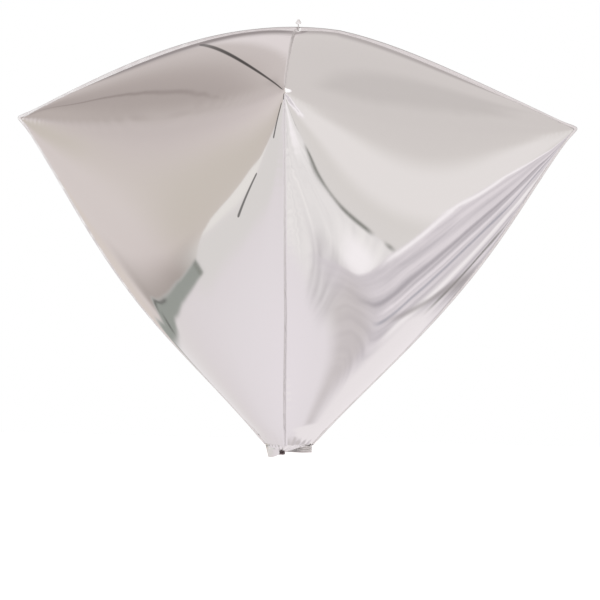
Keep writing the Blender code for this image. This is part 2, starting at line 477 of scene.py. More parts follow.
def welded_foil(finish, weld):
    """Two films pressed together by a ribbed welding bar: satin, darker towards its smooth trimmed edge,
    with painted shade along its root where it meets the film.
    """
    nodes = Finish("welded foil")
    along, across, _ = nodes.parts(nodes.add("ShaderNodeUVMap", uv_map="weld").outputs["UV"])
    ribs = nodes.math("SINE", (along + across * SEAM_MARGIN) * (2 * math.pi / weld.rib_pitch))
    in_weld = nodes.fade(across, 0.16, 0.24) * nodes.fade(across, 0.80, 0.72)
    mottle = nodes.noise(nodes.place(), 60.0, 3.0)
    film = nodes.mix(mottle, rgba(finish.weld, 0.94), rgba(finish.weld))
    # darker towards the weld's free edge
    darker_at_free_edge = nodes.mix(nodes.fade(across, 0.84, 0.97), film, rgba(finish.weld, 0.62))
    # painted shade along the weld's root, where it rises from the film
    root = 1.0 - nodes.fade(across, 0.18, 0.36)
    uneven = nodes.bump(mottle, 0.05, 0.0003)
    return nodes.dress({
        "Base Color": nodes.mix(root, darker_at_free_edge, rgba(finish.weld, 0.5)),
        "Roughness": mottle * 0.06 + in_weld * 0.10 + (finish.weld_roughness - 0.05),
        "Metallic": 1.0,
        "Normal": nodes.bump(ribs * in_weld, 0.35, 0.00006, uneven)})


def tie_cord(finish):
    """Dark twisted cord, matt, with paler worn fibres."""
    nodes = Finish("tie cord")
    place = nodes.place()
    fibre = nodes.noise(nodes.stretched(place, (900.0, 900.0, 2600.0)), 1.0, 4.0)
    twist = nodes.add("ShaderNodeTexWave", bands_direction="DIAGONAL")
    nodes.fill(twist, {"Vector": place, "Scale": 420.0, "Distortion": 1.5})
    ply = nodes.bump(twist.outputs["Fac"], 0.8, 0.0002)
    return nodes.dress({
        "Base Color": nodes.mix(fibre, rgba(finish.tie, 0.7), rgba(finish.tie, 1.9)),
        "Roughness": fibre * 0.2 + 0.55,
        "Sheen Weight": 0.25,
        "Normal": nodes.bump(fibre, 0.4, 0.0001, ply)})


def studio_paper():
    """Matt white paper; seen from below it isn't there."""
    nodes = Finish("studio paper")
    grain = nodes.noise(nodes.place(), 180.0, 3.0)
    nodes.dress({
        "Base Color": nodes.mix(grain, rgba((0.93, 0.93, 0.93)), rgba((0.96, 0.96, 0.96))),
        "Roughness": 0.9,
        "Emission Color": rgba((1.0, 1.0, 1.0)),
        "Emission Strength": 0.62})
    from_below = nodes.add("ShaderNodeNewGeometry").outputs["Backfacing"]
    clear = nodes.add("ShaderNodeBsdfTransparent").outputs[0]
    nodes.put(nodes.surface, nodes.choose(from_below, nodes.shader.outputs[0], clear))
    return nodes.material


def shared_material(name, make, *values):
    """The named material, made the first time it is asked for."""
    return bpy.data.materials.get(name) or make(*values)


def foil_of(own):
    return shared_material("mirror foil", mirror_foil, own.finish)


def weld_of(own):
    return shared_material("welded foil", welded_foil, own.finish, own.weld)


def add_piece(name, mesh, material, node):
    """Puts a finished mesh in the scene as a piece that stands for one of the frame's nodes."""
    piece = bpy.data.objects.new(name, mesh)
    mesh.materials.clear()
    mesh.materials.append(material)
    bpy.context.scene.collection.objects.link(piece)
    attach(piece, "root")
    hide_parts(node)
    return piece


def finished_mesh(name, bm):
    """A named, smoothly shaded mesh from a bmesh, which is freed."""
    mesh = bpy.data.meshes.new(name)
    bm.to_mesh(mesh)
    bm.free()
    mesh.shade_smooth()
    return mesh


def as_mesh(name, data, *modifiers):
    """A mesh from a mesh or curve, with modifiers applied, each given as its type and its values."""
    holder = bpy.data.objects.new("holder", data)
    bpy.context.scene.collection.objects.link(holder)
    for kind, values in modifiers:
        modifier = holder.modifiers.new(kind.lower(), kind)
        for key, value in values.items():
            setattr(modifier, key, value)
    graph = bpy.context.evaluated_depsgraph_get()
    result = bpy.data.meshes.new_from_object(holder.evaluated_get(graph))
    result.name = name
    bpy.data.objects.remove(holder)
    return result


def thickened(mesh, thickness, offset=0.0):
    """An open sheet of film with its thickness: 0 to both sides of the sheet, -1 inwards."""
    mesh = as_mesh(mesh.name, mesh, ("SOLIDIFY", {"thickness": thickness, "offset": offset}))
    mesh.shade_smooth()
    return mesh


def all_of(bm):
    return bm.verts[:] + bm.edges[:] + bm.faces[:]


def write_map(bm, name, place_of):
    """Writes a UV map from a function of the point."""
    layer = bm.loops.layers.uv.new(name)
    for face in bm.faces:
        for loop in face.loops:
            loop[layer].uv = place_of(loop.vert)


def points_of(mesh):
    points = np.zeros(len(mesh.vertices) * 3, np.float32)
    mesh.vertices.foreach_get("co", points)
    return points.reshape(-1, 3).astype(float)


def corner_points(mesh):
    """For each corner of each face, its point."""
    point = np.zeros(len(mesh.loops), np.int32)
    mesh.loops.foreach_get("vertex_index", point)
    return point


def set_points(mesh, points):
    mesh.vertices.foreach_set("co", points.astype(np.float32).ravel())
    mesh.update()


def normals_of(mesh):
    normals = np.zeros(len(mesh.vertices) * 3, np.float32)
    mesh.vertex_normals.foreach_get("vector", normals)
    return normals.reshape(-1, 3).astype(float)


def film_shares(mesh):
    """For each point of the film its two shares, one along each pair of seams."""
    share = np.zeros(len(mesh.loops) * 2, np.float32)
    mesh.uv_layers["film"].data.foreach_get("uv", share)
    shares = np.zeros((len(mesh.vertices), 2))
    shares[corner_points(mesh)] = share.reshape(-1, 2)
    return shares[:, 0], shares[:, 1]


def kite_point(first, second):
    """Where a point of the film lies on the flat cut."""
    first, second = np.asarray(first)[..., None], np.asarray(second)[..., None]
    return (
        (1 - first) * (1 - second) * KITE["crown"] + first * (1 - second) * KITE["first"]
        + (1 - first) * second * KITE["second"] + first * second * KITE["neck"])


# How the middle of a panel swells between its two seams, before there is gas in it
CROWN_SWELL = 0.0095        # upward, on the crown side
SIDE_SWELL_OUT = 0.0250     # outward, on the neck side
SIDE_SWELL_DOWN = 0.0180    # downward, on the neck side
FOLD_IN = 0.0210            # inward pull where the panel turns over between two corners
FOLD_DOWN = 0.0100
FOLD_REACH_UP = 0.20        # how far that pull reaches, as a share of a seam
FOLD_REACH_DOWN = 0.15
SIDE_SKEW, CROWN_SKEW = 0.65, 1.3   # both bring the fullest place nearer to the corners
NO_WIDTH = 1e-9             # stands for the width of the panel at its two tips


def swell(place):
    """Outward and upward move of a panel's middle; place runs 0 crown, 1 corner, 2 neck."""
    run_up, run_down = np.clip(place, 0.0, 1.0), np.clip(place - 1, 0.0, 1.0)
    pull = np.exp(-((1 - run_up) / FOLD_REACH_UP) ** 2 - (run_down / FOLD_REACH_DOWN) ** 2)
    bulge = np.where(place > 1, np.sin(np.pi * run_down ** SIDE_SKEW), 0.0)
    crown = CROWN_SWELL * np.sin(np.pi * run_up ** CROWN_SKEW)
    lift = np.where(place > 1, -SIDE_SWELL_DOWN * bulge, crown)
    return SIDE_SWELL_OUT * bulge - FOLD_IN * pull, lift - FOLD_DOWN * pull


def panel_form(first, second):
    """The panel between the +X and the +Y seam, laid on its rim and swollen."""
    flat = kite_point(first, second)
    side, down = flat[:, 0], flat[:, 1]
    upper = down > KITE_SHOULDER
    place = np.where(
        upper, down / KITE_SHOULDER, 1 + (down - KITE_SHOULDER) / (KITE_FOOT - KITE_SHOULDER))
    half = KITE_HALF_WIDTH * np.maximum(np.minimum(place, 2 - place), NO_WIDTH)
    across = np.clip(0.5 - 0.5 * side / half, 0.0, 1.0)
    upper_radius, upper_height = UPPER_RUN.at(np.clip(place, 0.0, 1.0))
    lower_radius, lower_height = LOWER_RUN.at(np.clip(place - 1, 0.0, 1.0))
    radius = np.where(upper, upper_radius, lower_radius)
    height = np.where(upper, upper_height, lower_height)
    out, lift = swell(place)
    crest = 4 * across * (1 - across)
    outward = crest * out / math.sqrt(2)
    return np.stack([
        radius * (1 - across) + outward, radius * across + outward, height + crest * lift], -1)


def film_sheet(columns):
    """The film of one panel as a grid on its rim."""
    bm = bmesh.new()
    bmesh.ops.create_grid(bm, x_segments=columns, y_segments=columns, size=0.5)
    write_map(bm, "film", lambda vert: (vert.co.x + 0.5, vert.co.y + 0.5))
    mesh = finished_mesh("film", bm)
    first, second = (points_of(mesh)[:, :2] + 0.5).T
    set_points(mesh, panel_form(first, second))
    return mesh, first, second


def face_outward(mesh):
    """Turns an open sheet so that its faces look away from the balloon's axis."""
    bm = bmesh.new()
    bm.from_mesh(mesh)
    widest = max(bm.faces, key=lambda face: face.calc_area())
    if widest.normal.dot(widest.calc_center_median()) < 0:
        bmesh.ops.reverse_faces(bm, faces=bm.faces)
    bm.to_mesh(mesh)
    bm.free()


def fill_with_gas(mesh, first, second, envelope):
    """Lets gas into the panel, whose rim is held by the seams, until the film is taut."""
    film = bpy.data.objects.new("film being filled", mesh)
    scene = bpy.context.scene
    scene.collection.objects.link(film)
    edge = np.min([first, second, 1 - first, 1 - second], axis=0) < TOUCHING
    held = film.vertex_groups.new(name="held by the seams")
    held.add(np.nonzero(edge)[0].tolist(), 1.0, "REPLACE")
    cloth = film.modifiers.new("gas", "CLOTH")
    values = cloth.settings
    values.vertex_group_mass = held.name
    values.quality = 8
    values.mass = 0.3
    values.use_pressure = True
    values.uniform_pressure_force = envelope.pressure
    values.tension_stiffness = values.shear_stiffness = 80.0
    values.compression_stiffness = 1.0
    values.bending_stiffness = 0.05
    values.tension_damping = values.compression_damping = values.shear_damping = 5.0
    values.effector_weights.gravity = 0.0
    cloth.point_cache.frame_start = 1
    cloth.point_cache.frame_end = envelope.frames
    for number in range(1, envelope.frames + 1):
        scene.frame_set(number)
    graph = bpy.context.evaluated_depsgraph_get()
    filled = bpy.data.meshes.new_from_object(film.evaluated_get(graph))
    bpy.data.objects.remove(film)
    scene.frame_set(1)
    return filled


def gather_foot(points):
    """Draws the film's foot into the neck's ring, so that it meets the neck."""
    weight = smooth_step((FOOT_TOP - points[:, 2]) / (FOOT_TOP - FILM_RIM))
    angle = np.arctan2(points[:, 1], points[:, 0])
    seam_radius, _ = closing_side_seam(-points[:, 2] / BODY_DEPTH)
    radius = ring_radius(angle, seam_radius, NECK_PLEAT_DEPTHS[0] * weight)
    points[:, 0] += weight * (radius * np.cos(angle) - points[:, 0])
    points[:, 1] += weight * (radius * np.sin(angle) - points[:, 1])
    return points


def ring_radius(angle, radius, pleat):
    """Radius of a rounded diamond ring with pleats, at an angle round it."""
    power = NECK_SQUARENESS
    spread = np.abs(np.cos(angle)) ** power + np.abs(np.sin(angle)) ** power
    return radius * spread ** (-1 / power) + pleat * np.cos(NECK_PLEATS * angle)


def filled_film(envelope):
    """The film of one panel, filled, made finer and cut off at the neck."""
    mesh, first, second = film_sheet(envelope.columns)
    face_outward(mesh)
    mesh = fill_with_gas(mesh, first, second, envelope)
    mesh = as_mesh(
        mesh.name, mesh,
        ("SUBSURF", {"levels": 1, "render_levels": 1, "boundary_smooth": "PRESERVE_CORNERS"}))
    bm = bmesh.new()
    bm.from_mesh(mesh)
    bmesh.ops.bisect_plane(
        bm, geom=all_of(bm), dist=TOUCHING, plane_co=(0.0, 0.0, FILM_RIM), plane_no=(0.0, 0.0, -1.0),
        clear_outer=True)
    bm.to_mesh(mesh)
    bm.free()
    set_points(mesh, gather_foot(points_of(mesh)))
    return mesh


def edge_of_cut(start, end, flat):
    """Distance of points of the flat cut from one of its edges, and the length along that edge."""
    along = KITE[end] - KITE[start]
    length = np.linalg.norm(along)
    along = along / length
    offset = flat - KITE[start]
    return np.abs(offset @ np.array((-along[1], along[0]))), offset @ along, length


CUT_EDGES = (("crown", "first"), ("crown", "second"), ("first", "neck"), ("second", "neck"))


# Puckers: their two waves, the wander of the first and their groups, in millimetres to a radian
PUCKER_WAVES = (1.55, 1.03)
PUCKER_WANDER = 11.0
PUCKER_GROUPS = (17.0, 29.0)
PUCKER_EDGE = 0.0015        # the weld holds the film flat this near to a seam
PUCKER_END = 0.02           # they die out this far from either end of a seam


def pucker_wave(place, seed):
    """Uneven puckers, closer here and wider there, which come in groups."""
    run = place * 1000 + 37.0 * seed
    wave = np.sin(run / PUCKER_WAVES[0] + 0.9 * np.sin(run / PUCKER_WANDER))
    wave += 0.6 * np.sin(run / PUCKER_WAVES[1] + 1.7)
    group = np.sin(run / PUCKER_GROUPS[0] + seed) * np.sin(run / PUCKER_GROUPS[1] + 2.1 * seed)
    return wave * (0.55 + 0.45 * group)


def seam_puckers(flat, quarter, envelope):
    """Height of the puckers that run in from the edges of a panel."""
    height = np.zeros(len(flat))
    for number, (start, end) in enumerate(CUT_EDGES):
        away, place, length = edge_of_cut(start, end, flat)
        band = np.exp(-(away / envelope.pucker_reach) ** 2) * (1 - np.exp(-(away / PUCKER_EDGE) ** 2))
        ends = smooth_step(place / PUCKER_END) * smooth_step((length - place) / PUCKER_END)
        wave = pucker_wave(place, quarter * len(CUT_EDGES) + number)
        height += envelope.pucker_depth * band * ends * wave
    return height


# Tension folds that fan out of a corner, by seam
FAN_DEPTHS = (0.0006, 0.0003, 0.0004, 0.0008)
FAN_ANGLE = 17.0            # degrees from the lower seam within which they run
FAN_PITCHES = (1.5, 0.95)   # degrees to a radian of their two waves
FAN_REACH = 0.17
FAN_START = 0.035


def corner_folds(flat, quarter):
    """Folds that the pull of a corner draws into the film beside the lower seams."""
    height = np.zeros(len(flat))
    for corner, seam in (("first", quarter), ("second", (quarter + 1) % 4)):
        rim = KITE["neck"] - KITE[corner]
        offset = flat - KITE[corner]
        away = np.hypot(offset[:, 0], offset[:, 1])
        turned = np.arctan2(rim[0] * offset[:, 1] - rim[1] * offset[:, 0], offset @ rim)
        angle = np.degrees(np.abs(turned))
        seed = 1.3 * quarter + 2.1 * seam
        wave = np.sin(angle / FAN_PITCHES[0] + seed) + 0.7 * np.sin(angle / FAN_PITCHES[1] + 2.3 * seed)
        beside = smooth_step(angle / FAN_PITCHES[0]) * np.exp(-(angle / FAN_ANGLE) ** 2)
        run = away * smooth_step(away / FAN_START) * np.exp(-(away / FAN_REACH) ** 2)
        height += FAN_DEPTHS[seam] * wave * beside * run
    return height


# Cross wrinkles over the neck, at the foot of the left side
WRINKLE_HEIGHT = -0.3035
WRINKLE_PITCH = 0.0036
WRINKLE_DEPTH = 0.00022
WRINKLE_SLOPE = 0.12
WRINKLE_BAND = 0.0050       # how far up and down they are felt
WRINKLE_START, WRINKLE_FADE = 0.012, 0.008


def foot_wrinkles(points):
    """Short wrinkles across the foot of the film, beside the left seam."""
    wave = np.sin(2 * np.pi * (points[:, 2] - WRINKLE_SLOPE * points[:, 0]) / WRINKLE_PITCH)
    level = np.exp(-((points[:, 2] - WRINKLE_HEIGHT) / WRINKLE_BAND) ** 2)
    return WRINKLE_DEPTH * wave * level * smooth_step((-points[:, 0] - WRINKLE_START) / WRINKLE_FADE)


def set_cut_map(mesh, flat, quarter):
    """UV map of the flat cut in metres, one metre further on for each panel."""
    place = flat[corner_points(mesh)] + np.array((quarter, 0.0))
    mesh.uv_layers.new(name="cut").data.foreach_set("uv", place.astype(np.float32).ravel())


# Painted shade on the film right beside a seam: how dark it is, and how far that reaches
EDGE_SHADE = {"crown": 0.15, "first": 0.02, "second": 0.02}
EDGE_SHADE_REACH = 0.0011


def dress_film(mesh, quarter, envelope):
    """Puckers, folds and painted edge shade of one panel; the first two are moves along the film's
    normal.
    """
    flat = kite_point(*film_shares(mesh))
    height = seam_puckers(flat, quarter, envelope) + corner_folds(flat, quarter)
    set_points(mesh, points_of(mesh) + height[:, None] * normals_of(mesh))
    set_cut_map(mesh, flat, quarter)
    shade = np.max([
        EDGE_SHADE[start] * np.exp(-(edge_of_cut(start, end, flat)[0] / EDGE_SHADE_REACH) ** 2)
        for start, end in CUT_EDGES], axis=0)
    # painted shade right beside the seams, kept on the points for the foil's colour
    painted_seam_shade = mesh.attributes.new("painted_seam_shade", "FLOAT", "POINT")
    painted_seam_shade.data.foreach_set("value", shade.astype(np.float32))


def make_panels(context):
    own = settings(context)
    filled = filled_film(own.envelope)
    seat = own.weld.thickness / 2
    for quarter, place in enumerate(PANELS):
        mesh = filled.copy()
        mesh.name = f"film_{place}"
        mesh.transform(Matrix.Translation((seat, seat, 0.0)))
        dress_film(mesh, quarter, own.envelope)
        mesh.transform(Matrix.Rotation(quarter * math.pi / 2, 4, "Z"))
        points = settle(points_of(mesh))
        set_points(mesh, points + foot_wrinkles(points)[:, None] * normals_of(mesh))
        mesh = thickened(mesh, own.envelope.thickness, -1.0)
        piece = add_piece(f"film_{place}", mesh, foil_of(own), f"panel_{place}")


SEAM_ROWS_UP = 110
SEAM_ROWS_DOWN = 150
SEAM_ROWS_CORNER = 10
SEAM_COLUMNS = 6
SEAM_START = 0.0003          # where the seams begin, at the axis
FRONT_TAB_LENGTH = 0.0048    # how much longer the front corner's tab is
FRONT_TAB_AT = 0.7           # where it is longest, as a share of the turn round the corner
FRONT_TAB_SPREAD = 0.22
FRONT_CROWN_MARGIN = 0.0024  # the front seam is trimmed closer at the crown
RIPPLES = (0.0041, 0.0113, 0.0023)  # run of the free edge's waves, in metres to a radian
# Seen edge on, the front seam shows only the even middle of the weld's pattern, without the painted
# shade at its root and without the darker free edge
FRONT_WELD_FROM, FRONT_WELD_SHARE = 0.40, 0.42


def standing_out(share, lower, length_from_corner, crown_margin):
    """How far a seam stands out of the film at a share of its run."""
    margin = SEAM_MARGIN
    if not lower:
        margin += (crown_margin - SEAM_MARGIN) * (1 - share ** 2) ** 3
    near = math.exp(-(length_from_corner / CORNER_TAB_REACH) ** 2)
    return margin + (CORNER_MARGIN - SEAM_MARGIN) * near


def out_of(run):
    """The direction out of the film beside a short run along a seam."""
    along = run.normalized()
    return Vector((-along.y, along.x))


def seam_rows(crown_margin, tab_length):
    """Inner and outer ends of each row across a seam, in its own plane, with its place along it."""
    start = SEAM_START / CORNER_RADIUS
    shares = [start + (1 - start) * step / SEAM_ROWS_UP for step in range(SEAM_ROWS_UP)]
    shares += [1 + step / SEAM_ROWS_DOWN for step in range(SEAM_ROWS_DOWN + 1)]
    path = [
        Vector([float(x) for x in (crown_seam(share) if share < 1 else side_seam(share - 1))])
        for share in shares]
    corner = path[SEAM_ROWS_UP]
    rows, place = [], 0.0
    for index, point in enumerate(path):
        before, after = path[max(index - 1, 0)], path[min(index + 1, len(path) - 1)]
        place += (point - before).length
        if index != SEAM_ROWS_UP:
            outward = out_of(after - before)
            far = (point - corner).length
            margin = standing_out(shares[index], index > SEAM_ROWS_UP, far, crown_margin)
            rows.append((point - outward * SEAM_ROOT, point + outward * margin, place))
            continue
        coming, going = out_of(point - before), out_of(after - point)
        turn = coming.angle_signed(going)
        inner = point - (coming + going).normalized() * SEAM_ROOT / math.cos(turn / 2)
        for step in range(SEAM_ROWS_CORNER + 1):
            part = step / SEAM_ROWS_CORNER
            angle = math.atan2(coming.y, coming.x) - turn * part
            tab = tab_length * math.exp(-((part - FRONT_TAB_AT) / FRONT_TAB_SPREAD) ** 2)
            outer = point + Vector((math.cos(angle), math.sin(angle))) * (CORNER_MARGIN + tab)
            rows.append((inner, outer, place))
    return rows


def weld_mesh(name, quarter, weld):
    """One welded seam: a grid laid along the seam, waved at its free edge."""
    front = quarter == FRONT_SEAM
    margin, tab = (FRONT_CROWN_MARGIN, FRONT_TAB_LENGTH) if front else (CROWN_MARGIN, 0.0)
    rows = seam_rows(margin, tab)
    bm = bmesh.new()
    bmesh.ops.create_grid(bm, x_segments=SEAM_COLUMNS, y_segments=len(rows) - 1, size=0.5)
    shares = {}
    for vert in bm.verts:
        across = vert.co.x + 0.5
        inner, outer, place = rows[round((vert.co.y + 0.5) * (len(rows) - 1))]
        flat = inner.lerp(outer, across)
        first, second, third = (place / run for run in RIPPLES)
        wave = math.sin(first + quarter) * math.sin(second + 2 * quarter)
        wave += 0.5 * math.sin(third + 3 * quarter)
        side = weld.ripple * across ** 2 * wave
        if front:
            flat, side = folded_tab(flat, side, weld.tab_fold)
        shares[vert] = (place, FRONT_WELD_FROM + FRONT_WELD_SHARE * across if front else across)
        vert.co = (flat.x, side, flat.y)
    write_map(bm, "weld", shares.get)
    bmesh.ops.remove_doubles(bm, verts=bm.verts, dist=TOUCHING)
    bmesh.ops.rotate(bm, verts=bm.verts, matrix=Matrix.Rotation(quarter * math.pi / 2, 3, "Z"))
    return finished_mesh(name, bm)


TAB_FOLD_START = CORNER_RADIUS - 0.0004
TAB_FOLD_RADIUS = 0.0006


def folded_tab(flat, side, angle):
    """Folds what stands out past the corner over to one side, round a small radius."""
    past = flat.x - TAB_FOLD_START
    if past <= 0:
        return flat, side
    turned = min(past / TAB_FOLD_RADIUS, angle)
    rest = max(past - angle * TAB_FOLD_RADIUS, 0.0)
    out = TAB_FOLD_RADIUS * math.sin(turned) + rest * math.cos(angle)
    over = TAB_FOLD_RADIUS * (1 - math.cos(turned)) + rest * math.sin(angle)
    return Vector((TAB_FOLD_START + out, flat.y)), side + over


def make_seams(context):
    own = settings(context)
    for quarter, name in enumerate(SEAMS):
        mesh = weld_mesh(f"weld_{name}", quarter, own.weld)
        set_points(mesh, settle(points_of(mesh)))
        mesh = thickened(mesh, own.weld.thickness)
        add_piece(f"weld_{name}", mesh, weld_of(own), f"seam_{name}")


LEAF_WIDTH = 0.006           # run of the weld's ribs across a leaf
LEAF_PLACE = 0.6             # where a leaf lies across the weld's pattern: in the ribbed middle


def leaf(name, across, up, outline, curl):
    """A thin leaf of film: a grid laid out by one function of its two shares and curled by another."""
    bm = bmesh.new()
    bmesh.ops.create_grid(bm, x_segments=across, y_segments=up, size=0.5)
    write_map(bm, "weld", lambda vert: (vert.co.x * LEAF_WIDTH, LEAF_PLACE))
    for vert in bm.verts:
        shares = vert.co.x * 2, vert.co.y + 0.5
        vert.co = outline(*shares) + Vector((0.0, curl(*shares), 0.0))
    return finished_mesh(name, bm)


TAB_STEM = 0.0004            # half width of the crown tab where it rises from the seams
TAB_ROOT = 0.0025            # how far it reaches down between the seams
TAB_FRONT = -0.0005
TAB_HEAD_START = 0.5         # its head spreads from this share of its height
TAB_HEAD_SPREAD = 0.15
TAB_HEAD_WIDTH = 1.2
TAB_TIP = 1.1                # the share of the height at which the head would close


def make_crown_tab(context):
    own = settings(context)
    low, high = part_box("crown_tab")
    half = (high.x - low.x) / 2
    foot = CROWN_HEIGHT + CROWN_MARGIN - TAB_ROOT

    def outline(across, up):
        spread = smooth_step((up - TAB_HEAD_START) / TAB_HEAD_SPREAD)
        head = half * TAB_HEAD_WIDTH * spread * (TAB_TIP - up) / TAB_HEAD_START
        return Vector(((TAB_STEM + head) * across, TAB_FRONT, foot + (high.z - foot) * up))

    def curl(across, up):
        return 0.0009 * up * up * across + 0.0005 * math.sin(5 * up + 2 * across)

    mesh = thickened(leaf("crown_tuft", 12, 36, outline, curl), own.weld.thickness)
    add_piece("crown_tuft", mesh, weld_of(own), "crown_tab")


NECK_COLUMNS = 240
NECK_ROWS = 26
NECK_CREASES = 31            # fine creases round the neck, between the pleats
NECK_CREASE_TWIST = 90.0     # how far their wave runs on from its foot to its top, in radians
NECK_CREASE_DEPTH = 0.35     # as a share of a pleat's


def neck_ring(height):
    """Radius, sideways shift and pleat depth of the gathered neck at a height."""
    rows = NECK_RADII, NECK_SHIFTS, NECK_PLEAT_DEPTHS
    return [float(np.interp(height, NECK_HEIGHTS[::-1], row[::-1])) for row in rows]


def make_neck(context):
    own = settings(context)
    low, high = NECK_HEIGHTS[-1], NECK_HEIGHTS[0]
    bm = bmesh.new()
    bmesh.ops.create_cone(
        bm, cap_ends=True, segments=NECK_COLUMNS, radius1=1.0, radius2=1.0, depth=1.0)
    for row in range(1, NECK_ROWS):
        level = row / NECK_ROWS - 0.5
        bmesh.ops.bisect_plane(bm, geom=all_of(bm), plane_co=(0.0, 0.0, level), plane_no=(0.0, 0.0, 1.0))
    for vert in bm.verts:
        share = vert.co.z + 0.5
        height = low + (high - low) * share
        radius, shift, pleat = neck_ring(height)
        angle = math.atan2(vert.co.y, vert.co.x)
        reach = float(ring_radius(angle, radius, pleat))
        fine = NECK_CREASE_DEPTH * pleat * math.sin(NECK_CREASES * angle + NECK_CREASE_TWIST * share)
        reach += fine if height < high else 0.0
        vert.co = Vector((shift + reach * math.cos(angle), reach * math.sin(angle), height))
    bmesh.ops.recalc_face_normals(bm, faces=bm.faces)
    mesh = finished_mesh("gathered_neck", bm)
    set_points(mesh, settle(points_of(mesh)))
    add_piece("gathered_neck", mesh, foil_of(own), "neck")


def tube(name, path, diameter):
    """A round cord along a path of points, as a mesh with closed ends."""
    curve = bpy.data.curves.new(name, "CURVE")
    curve.dimensions = "3D"
    curve.bevel_depth = diameter / 2
    curve.bevel_resolution = 3
    curve.use_fill_caps = True
    line = curve.splines.new("POLY")
    line.points.add(len(path) - 1)
    for point, place in zip(line.points, path):
        point.co = (*place, 1.0)
    mesh = as_mesh(name, curve)
    bm = bmesh.new()
    bm.from_mesh(mesh)
    bmesh.ops.remove_doubles(bm, verts=bm.verts, dist=TOUCHING)
    bmesh.ops.recalc_face_normals(bm, faces=bm.faces)
    bm.to_mesh(mesh)
    bm.free()
    return mesh


TIE_LAY = 0.95               # the turns lie this many diameters apart
TIE_SLANT = 0.0002
TIE_STEPS = 36               # points to a turn
KNOT_PLACE = Vector((-0.0008, -0.0005, -0.0006))    # from the front of the windings
KNOT_LOOP = (0.0009, -0.0003, 0.0007)
KNOT_STEPS = 32
KNOT_CORD = 0.9
# Where each of the knot's two free ends runs, from the knot
KNOT_ENDS = (
    ((0.0, 0.0, 0.0), (-0.0009, -0.0006, -0.0006), (-0.0020, -0.0005, -0.0009)),
    ((0.0, 0.0, 0.0), (0.0010, -0.0007, 0.0004), (0.0022, -0.0008, 0.0003)),
)


def make_tie(context):
    own = settings(context)
    neck = own.neck
    steps = TIE_STEPS * neck.turns
    path = []
    for step in range(steps + 1):
        share = step / steps
        angle = -math.pi / 2 + 2 * math.pi * neck.turns * share
        lift = neck.cord_diameter * TIE_LAY * neck.turns * (share - 0.5) + TIE_SLANT * math.sin(angle)
        path.append(TIE_CENTRE + Vector((
            neck.tie_radius * math.cos(angle), neck.tie_radius * math.sin(angle), lift)))
    knot = TIE_CENTRE + Vector((0.0, -neck.tie_radius, 0.0)) + KNOT_PLACE
    wide, deep, tall = KNOT_LOOP
    turns = [2 * math.pi * step / KNOT_STEPS for step in range(KNOT_STEPS + 1)]
    loop = [
        knot + Vector((wide * math.sin(turn), deep * math.cos(2 * turn), tall * math.sin(2 * turn)))
        for turn in turns]
    ends = [[knot + Vector(place) for place in end] for end in KNOT_ENDS]
    wound = tube("neck_tie_cord", path, neck.cord_diameter)
    bm = bmesh.new()
    bm.from_mesh(wound)
    for run in (loop, *ends):
        extra = tube("knot", run, neck.cord_diameter * KNOT_CORD)
        bm.from_mesh(extra)
        bpy.data.meshes.remove(extra)
    bm.to_mesh(wound)
    bm.free()
    wound.shade_smooth()
    cord = shared_material("tie cord", tie_cord, own.finish)
    add_piece("neck_tie_cord", wound, cord, "neck_tie")


# The tail: its start, how far its tip is past the solid's end, its slope and its half height
TAIL_START = TIE_CENTRE + Vector((0.0012, -0.0006, 0.0012))
TAIL_PAST = 0.0008
TAIL_DEPTH, TAIL_RISE = -0.0020, 0.0036
TAIL_ROOT, TAIL_SPREAD = 0.0009, 0.0032
TAIL_SCALLOP = 0.0005        # how uneven the pleats' ends are
TAIL_PLEAT = 0.0011


def make_tail(context):
    own = settings(context)
    pleats = own.neck.tail_pleats
    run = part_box("tail")[1].x + TAIL_PAST - TAIL_START.x

    def outline(across, up):
        scallop = TAIL_SCALLOP * math.cos(pleats * math.pi * across) * up ** 3
        spread = TAIL_ROOT + TAIL_SPREAD * smooth_step(up * 1.1)
        height = TAIL_RISE * up + spread * across
        return TAIL_START + Vector((run * up - scallop, TAIL_DEPTH * up, height))

    def curl(across, up):
        ripple = math.cos(math.pi * pleats * (across + 1) + 0.5 * math.sin(3 * across))
        return TAIL_PLEAT * min(1.4 * up + 0.15, 1.0) * ripple

    mesh = thickened(leaf("pleated_tail", 96, 40, outline, curl), own.neck.tail_film)
    add_piece("pleated_tail", mesh, foil_of(own), "tail")


# The flap's corners, upper left and right, then lower left and right
FLAP_TOP = Vector((-0.0236, -0.0004, -0.3052)), Vector((-0.0120, -0.0118, -0.3056))
FLAP_FOOT = Vector((-0.0193, 0.0034, -0.3222)), Vector((-0.0080, -0.0036, -0.3184))
FLAP_ROUNDING = 0.0012       # how far its lower edge hangs down in the middle
FLAP_RIDGE, FLAP_WRINKLE = 0.0008, 0.00016


def make_flap(context):
    own = settings(context)

    def outline(across, up):
        share = (across + 1) / 2
        hang = FLAP_ROUNDING * (1 - across ** 2) * (1 - up)
        left, right = (foot.lerp(top, up) for foot, top in zip(FLAP_FOOT, FLAP_TOP))
        return left.lerp(right, share) - Vector((0.0, 0.0, hang))

    def curl(across, up):
        ridge = FLAP_RIDGE * math.sin(2.6 * across + 1.4 * up + 0.4)
        wrinkle = FLAP_WRINKLE * math.sin(26 * up + 1.5 * across)
        return ridge * (1 - up) + wrinkle * float(smooth_step(up * 2 - 0.4))

    mesh = thickened(leaf("loose_flap", 40, 48, outline, curl), own.neck.tail_film)
    add_piece("loose_flap", mesh, foil_of(own), "tail_flap")


FILM_REFLECTANCE = 0.90


def tone(red, green, blue):
    """Radiance that the film shows as this tone, given as 0 to 255 in the picture."""
    steps = ((value / 255 + 0.055) / 1.055 for value in (red, green, blue))
    return (*(step ** 2.4 / FILM_REFLECTANCE for step in steps), 1.0)


